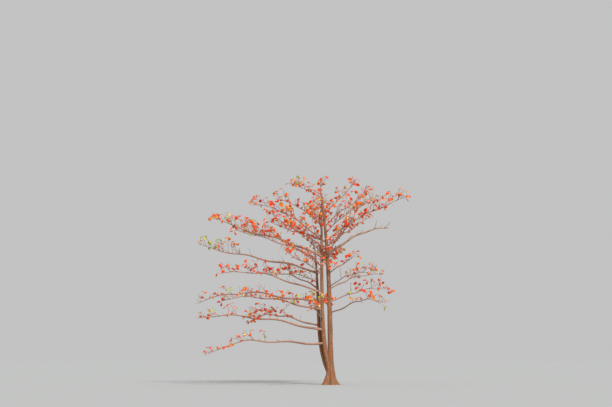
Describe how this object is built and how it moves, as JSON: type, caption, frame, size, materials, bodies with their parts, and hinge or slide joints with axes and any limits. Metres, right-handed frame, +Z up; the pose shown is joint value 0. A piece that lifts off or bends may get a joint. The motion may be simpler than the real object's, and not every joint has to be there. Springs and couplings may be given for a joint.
{
  "type": "tropical almond tree",
  "caption": "Large rooted tropical almond tree with stems from one root, tiered spreading boughs and an open crown of broad red autumn leaves.",
  "frame": {"origin": "centre of the flat cut under the trunk, at ground level", "axes": "+Z up, +X to the viewer's right as the tree is seen in the picture, +Y away from the viewer"},
  "size_m": [14.3959, 12.1702, 13.707],
  "materials": {
    "trunk_bark": "warm tan bark with fine upright furrows",
    "bough_bark": "pinkish grey-brown bark, paler on the dead limb",
    "leaf_scarlet": "glossy scarlet-orange autumn leaf",
    "leaf_salmon": "glossy salmon-red autumn leaf",
    "leaf_crimson": "glossy dark crimson autumn leaf",
    "leaf_orange": "glossy orange autumn leaf",
    "leaf_amber": "pale amber autumn leaf",
    "leaf_green": "yellow-green leaf that has not turned yet"
  },
  "bodies": {
    "root": {"bough_back_left_low": "bough_bark", "bough_back_left_middle": "bough_bark", "bough_back_low": "bough_bark", "bough_back_middle": "bough_bark", "bough_back_right_middle": "bough_bark", "bough_front_low": "bough_bark", "bough_front_right_low": "bough_bark", "bough_front_right_middle": "bough_bark", "bough_left_foot": "bough_bark", "bough_left_front": "bough_bark", "bough_left_high": "bough_bark", "bough_left_low": "bough_bark", "bough_left_middle": "bough_bark", "bough_left_outer": "bough_bark", "bough_left_shoulder": "bough_bark", "bough_left_skirt": "bough_bark", "bough_right_high": "bough_bark", "bough_right_low": "bough_bark", "bough_right_middle": "bough_bark", "foliage_back_high": "leaf_scarlet", "foliage_back_inner": "leaf_orange", "foliage_back_left_high": "leaf_scarlet", "foliage_back_left_low": "leaf_green", "foliage_back_left_middle": "leaf_salmon", "foliage_back_low": "leaf_scarlet", "foliage_back_middle": "leaf_scarlet", "foliage_back_right_high": "leaf_salmon", "foliage_back_right_middle": "leaf_crimson", "foliage_front_high": "leaf_scarlet", "foliage_front_left_high": "leaf_scarlet", "foliage_front_left_middle": "leaf_crimson", "foliage_front_low": "leaf_crimson", "foliage_front_right_high": "leaf_salmon", "foliage_front_right_low": "leaf_scarlet", "foliage_front_right_middle": "leaf_green", "foliage_left_crest": "leaf_salmon", "foliage_left_foot": "leaf_green", "foliage_left_front": "leaf_scarlet", "foliage_left_high": "leaf_scarlet", "foliage_left_inner": "leaf_scarlet", "foliage_left_low": "leaf_scarlet", "foliage_left_middle": "leaf_green", "foliage_left_nook": "leaf_crimson", "foliage_left_outer": "leaf_orange", "foliage_left_rise": "leaf_salmon", "foliage_left_shoulder": "leaf_scarlet", "foliage_left_skirt": "leaf_orange", "foliage_left_top": "leaf_green", "foliage_middle_top": "leaf_orange", "foliage_right_crest": "leaf_scarlet", "foliage_right_high": "leaf_scarlet", "foliage_right_inner": "leaf_salmon", "foliage_right_low": "leaf_crimson", "foliage_right_rise": "leaf_scarlet", "foliage_top_right": "leaf_amber", "foliage_trunk_top": "leaf_salmon", "stem_left": "trunk_bark", "stem_middle": "trunk_bark", "trunk": "trunk_bark"}
  },
  "joints": []
}
